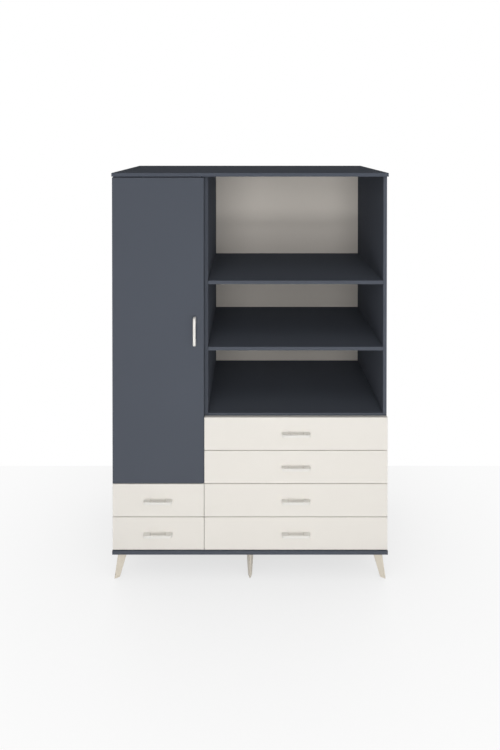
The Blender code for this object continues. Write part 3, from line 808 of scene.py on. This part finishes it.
def makeShelfPins(shelf):
    low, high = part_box(shelf)
    bm = bmesh.new()
    top = low.z - shelfPin["seat"]
    radius, collar = shelfPin["collarRadius"], shelfPin["collar"]
    profile = [(wide * radius, high * collar) for wide, high in shelfPin["collarProfile"]]
    for wall, inward in ((low.x - shelfPin["seat"], 1), (high.x + shelfPin["seat"], -1)):
        for y in (low.y + shelfPin["fromEnd"], high.y - shelfPin["fromEnd"]):
            turned(bm, (wall, y, top - radius), (inward, 0, 0), profile, shelfPin["collarSides"])
            start = wall + inward * collar * shelfPin["sunkShare"]
            end = wall + inward * (collar + shelfPin["tongueLength"])
            half = shelfPin["tongueWidth"] / 2
            addBoard(bm, (min(start, end), y - half, top - shelfPin["tongueThickness"]),
                     (max(start, end), y + half, top), shelfPin["tongueRounding"])
    finishPiece(shelf + "_pins", bm, screwSteel, "carcass", shelfPin["sharpAngle"])


for shelf in innerShelves:
    makeShelfPins(shelf)
print("fixings made")


# Floor that stays white in the picture: a small lit share keeps the real shadow, and its glow carries
# painted shadow where the cupboard covers it
studio = {
    "floorFront": -9.0,
    "floorRear": 9.0,
    "floorSide": 9.0,
    "wallLine": 0.50,
    "bounce": 0.86,
    "shadowTone": 0.08,
    "glow": 0.675,
    # the glow share that painted shadow takes away under the cupboard, and the reach and samples of that
    # painted shadow
    "paintedShadowGlow": 0.25,
    "paintedShadowReach": 0.9,
    "paintedShadowSamples": 16,
    "ambient": 0.178,
}


# 1 for what the camera sees, straight, reflected or through glass, and 0 for light on the pieces
def seenByCamera(tree):
    path = addNode(tree, "ShaderNodeLightPath")
    seen = addNode(tree, "ShaderNodeMath", {0: path.outputs["Is Camera Ray"],
                   1: path.outputs["Is Glossy Ray"]}, operation="MAXIMUM")
    seenAll = addNode(tree, "ShaderNodeMath", {0: seen.outputs[0],
                      1: path.outputs["Is Transmission Ray"]}, operation="MAXIMUM")
    return seenAll.outputs[0]


def makeFloor():
    bm = bmesh.new()
    side, near, far = studio["floorSide"], studio["floorFront"], studio["floorRear"]
    corners = ((-side, near), (side, near), (side, far), (-side, far))
    bm.faces.new([bm.verts.new((x, y, 0)) for x, y in corners])
    mesh = bpy.data.meshes.new("floor")
    bm.to_mesh(mesh)
    bm.free()
    floor = bpy.data.objects.new("floor", mesh)
    bpy.context.scene.collection.objects.link(floor)
    material = bpy.data.materials.new("studio floor")
    material.use_nodes = True
    tree = material.node_tree
    tree.nodes.clear()
    place = addNode(tree, "ShaderNodeTexCoord")
    depth = addNode(tree, "ShaderNodeSeparateXYZ", {"Vector": place.outputs["Object"]})
    behind = addNode(tree, "ShaderNodeMath", {0: depth.outputs["Y"], 1: studio["wallLine"]},
                     operation="GREATER_THAN")
    matt = addNode(tree, "ShaderNodeBsdfDiffuse", {"Color": shade((1, 1, 1), studio["bounce"])})
    lit = addNode(tree, "ShaderNodeBsdfDiffuse", {"Color": shade((1, 1, 1), studio["shadowTone"])})
    # painted shadow: the floor's glow dims where the cupboard covers it, by ambient occlusion
    skyShareForPaintedShadow = addNode(tree, "ShaderNodeAmbientOcclusion", {"Distance": studio["paintedShadowReach"]},
                        samples=studio["paintedShadowSamples"])
    glowAfterPaintedShadow = addNode(tree, "ShaderNodeMapRange", {"Value": skyShareForPaintedShadow.outputs["AO"], "To Min": studio["glow"],
                    "To Max": studio["glow"] + studio["paintedShadowGlow"]})
    glow = addNode(tree, "ShaderNodeEmission", {"Strength": glowAfterPaintedShadow.outputs[0]})
    shown = addNode(tree, "ShaderNodeAddShader", {0: lit.outputs[0], 1: glow.outputs[0]})
    white = addNode(tree, "ShaderNodeEmission", {"Strength": 1.0})
    shownAll = addNode(tree, "ShaderNodeMixShader", {0: behind.outputs[0], 1: shown.outputs[0],
                       2: white.outputs[0]})
    mixed = addNode(tree, "ShaderNodeMixShader", {0: seenByCamera(tree), 1: matt.outputs[0],
                    2: shownAll.outputs[0]})
    addNode(tree, "ShaderNodeOutputMaterial", {"Surface": mixed.outputs[0]})
    mesh.materials.append(material)


def makeWorld():
    world = bpy.data.worlds.new("studio")
    bpy.context.scene.world = world
    world.use_nodes = True
    tree = world.node_tree
    tree.nodes.clear()
    ambient = addNode(tree, "ShaderNodeBackground", {"Strength": studio["ambient"]})
    white = addNode(tree, "ShaderNodeBackground", {"Strength": 1.0})
    white.inputs["Color"].default_value = (1, 1, 1, 1)
    ambient.inputs["Color"].default_value = (1, 1, 1, 1)
    mixed = addNode(tree, "ShaderNodeMixShader", {0: seenByCamera(tree), 1: ambient.outputs[0],
                    2: white.outputs[0]})
    addNode(tree, "ShaderNodeOutputWorld", {"Surface": mixed.outputs[0]})


# Soft boxes: four in front from overhead to the floor, one at each side, and two low behind
softBoxes = {
    "overhead": {"place": (0, -2.2, 4.3), "aim": (0, 0, 0.9), "size": (3.0, 1.6), "watts": 17.5},
    "high in front": {"place": (0, -3.5, 2.9), "aim": (0, 0, 1.0), "size": (3.0, 1.4), "watts": 29.5},
    "tall in front": {"place": (0, -3.6, 1.35), "aim": (0, 0, 1.0), "size": (3.0, 1.7), "watts": 26},
    "low in front": {"place": (0, -3.0, 0.2), "aim": (0, 0, 0.5), "size": (3.0, 0.5), "watts": 29},
    "left": {"place": (-3.2, -2.4, 1.2), "aim": (0, 0, 0.8), "size": (1.4, 2.0), "watts": 9},
    "right": {"place": (3.2, -2.4, 1.2), "aim": (0, 0, 0.8), "size": (1.4, 2.0), "watts": 17},
    "rear left": {"place": (-2.6, 3.4, 0.8), "aim": (0, 0, 0.8), "size": (1.6, 1.5), "watts": 45},
    "rear right": {"place": (2.6, 3.4, 0.8), "aim": (0, 0, 0.8), "size": (1.6, 1.5), "watts": 45},
}


def makeSoftBox(name, settings):
    data = bpy.data.lights.new(name, "AREA")
    data.shape = "RECTANGLE"
    data.size, data.size_y = settings["size"]
    data.energy = settings["watts"]
    lamp = bpy.data.objects.new(name, data)
    bpy.context.scene.collection.objects.link(lamp)
    lamp.location = settings["place"]
    aim = Vector(settings["aim"]) - Vector(settings["place"])
    lamp.rotation_euler = aim.to_track_quat("-Z", "Y").to_euler()
    lamp.visible_camera = False
    lamp.visible_glossy = False


makeFloor()
makeWorld()
for name, settings in softBoxes.items():
    makeSoftBox(name, settings)
print("floor and studio light made")


# Camera: upright frame of 24 by 36, nearly level and above the top, its picture shifted down
view = {
    "place": (-0.0002, -2.4447, 1.9307),
    "tiltUp": -0.5,
    "lens": 24.17,
    "frameWidth": 24.0,
    "frameHeight": 36.0,
    "shiftDown": 0.3108,
}
camera = bpy.data.objects.new("camera", bpy.data.cameras.new("camera"))
bpy.context.scene.collection.objects.link(camera)
camera.location = view["place"]
camera.rotation_euler = (math.radians(90 + view["tiltUp"]), 0, 0)
camera.data.sensor_fit = "VERTICAL"
camera.data.sensor_width = view["frameWidth"]
camera.data.sensor_height = view["frameHeight"]
camera.data.lens = view["lens"]
camera.data.shift_y = -view["shiftDown"]
bpy.context.scene.camera = camera
bpy.context.scene.view_settings.view_transform = "Standard"
print("camera set")
